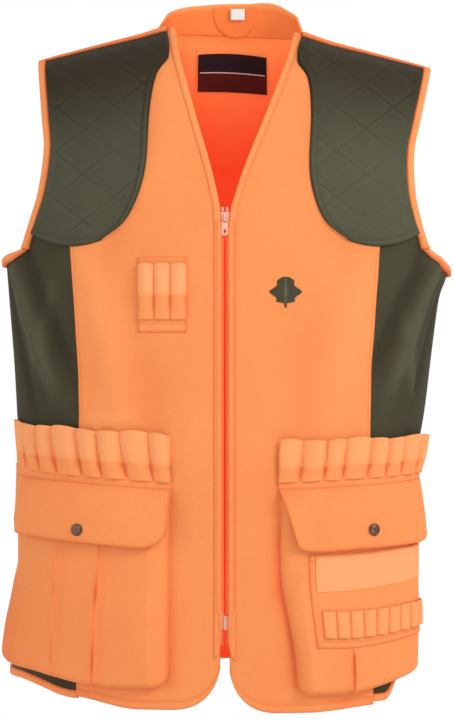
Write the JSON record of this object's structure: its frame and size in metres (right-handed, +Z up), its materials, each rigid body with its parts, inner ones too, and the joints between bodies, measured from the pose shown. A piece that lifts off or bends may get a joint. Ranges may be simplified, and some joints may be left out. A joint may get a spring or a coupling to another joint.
{
  "type": "shooting vest",
  "caption": "Sleeveless zip-front field vest with quilted shoulder pads, cartridge loops, two flapped cargo pockets and a rear game pouch.",
  "frame": {"origin": "on the shoulder ridge line, level with the two neck points and over the zip, where a hanger's neck carries the vest", "axes": "+Z up along the zip, -Y out of the front, +X towards the wearer's left"},
  "size_m": [0.4657, 0.2741, 0.7321],
  "materials": {
    "orange_shell": "matte blaze orange polycotton twill",
    "orange_tape": "folded twill tape",
    "orange_elastic": "ribbed elastic webbing",
    "red_lining": "plain-weave lining",
    "olive_quilt": "quilted polycotton over foam",
    "olive_side": "brushed polycotton twill",
    "label_weave": "damask woven label",
    "white_tab": "satin size tab",
    "antique_brass": "antiqued",
    "zip_nylon": "moulded resin",
    "zip_tape": "woven zip tape"
  },
  "bodies": {
    "shell": {"back_yoke": "orange_shell", "back_panel": "orange_shell", "back_lining": "red_lining", "collar": "orange_shell", "half_moon_facing": "orange_shell", "woven_label": "label_weave", "game_pouch": "orange_shell", "game_pouch_band": "orange_tape", "back_hem_band": "orange_tape", "right_side_panel": "olive_side", "right_side_hem_band": "orange_tape", "right_armhole_binding_back": "orange_tape", "left_side_panel": "olive_side", "left_side_hem_band": "orange_tape", "left_armhole_binding_back": "orange_tape"},
    "right_front": {"right_front_panel": "orange_shell", "right_shoulder_pad": "olive_quilt", "right_placket": "orange_tape", "right_neck_binding": "orange_tape", "right_armhole_binding_front": "orange_tape", "right_shell_loops": "orange_elastic", "right_flap_seam": "orange_tape", "right_cargo_pocket": "orange_shell", "right_pocket_stud": "antique_brass", "right_zip_tape": "zip_tape", "right_zip_teeth": "zip_nylon", "right_zip_top_stop": "zip_nylon", "zip_pin": "zip_nylon", "chest_patch": "orange_shell", "chest_loops": "orange_elastic"},
    "left_front": {"left_front_panel": "orange_shell", "left_shoulder_pad": "olive_quilt", "left_placket": "orange_tape", "left_neck_binding": "orange_tape", "left_armhole_binding_front": "orange_tape", "left_shell_loops": "orange_elastic", "left_flap_seam": "orange_tape", "left_cargo_pocket": "orange_shell", "left_pocket_stud": "antique_brass", "left_zip_tape": "zip_tape", "left_zip_teeth": "zip_nylon", "left_zip_top_stop": "zip_nylon", "zip_retaining_box": "zip_nylon", "rifle_patch": "orange_shell", "wide_elastic_band": "orange_elastic", "rifle_loops": "orange_elastic", "embroidered_motif": "olive_side"},
    "right_flap": {"right_pocket_flap": "orange_shell", "right_snap_cap": "antique_brass", "right_snap_socket": "antique_brass"},
    "left_flap": {"left_pocket_flap": "orange_shell", "left_snap_cap": "antique_brass", "left_snap_socket": "antique_brass"},
    "slider": {"zip_slider": "zip_nylon"},
    "pull_tab": {"zip_pull_tab": "zip_nylon"},
    "tab": {"size_tab": "white_tab"}
  },
  "joints": [
    {"name": "right_front_open", "type": "hinge", "parent": "shell", "child": "right_front", "pos_m": [-0.215, 0.02, 0], "axis": [0, 0, -1], "range_deg": [0, 35]},
    {"name": "left_front_open", "type": "hinge", "parent": "shell", "child": "left_front", "pos_m": [0.205, 0.02, 0], "axis": [0, 0, 1], "range_deg": [0, 35]},
    {"name": "zip_travel", "type": "slide", "parent": "left_front", "child": "slider", "axis": [0, 0, -1], "range_m": [0, 0.389]},
    {"name": "pull_tab_swing", "type": "hinge", "parent": "slider", "child": "pull_tab", "pos_m": [0, -0.12595, -0.2024], "axis": [-1, 0, 0], "range_deg": [0, 170]},
    {"name": "right_flap_lift", "type": "hinge", "parent": "right_front", "child": "right_flap", "pos_m": [-0.1634, -0.0975, -0.466], "axis": [-0.8536, 0.5209, 0], "range_deg": [0, 80]},
    {"name": "left_flap_lift", "type": "hinge", "parent": "left_front", "child": "left_flap", "pos_m": [0.1564, -0.0958, -0.466], "axis": [-0.8342, -0.5515, 0], "range_deg": [0, 80]},
    {"name": "size_tab_flip", "type": "hinge", "parent": "shell", "child": "tab", "pos_m": [0.0135, 0.0414, 0.0288], "axis": [-1, 0, 0], "range_deg": [0, 110]}
  ]
}
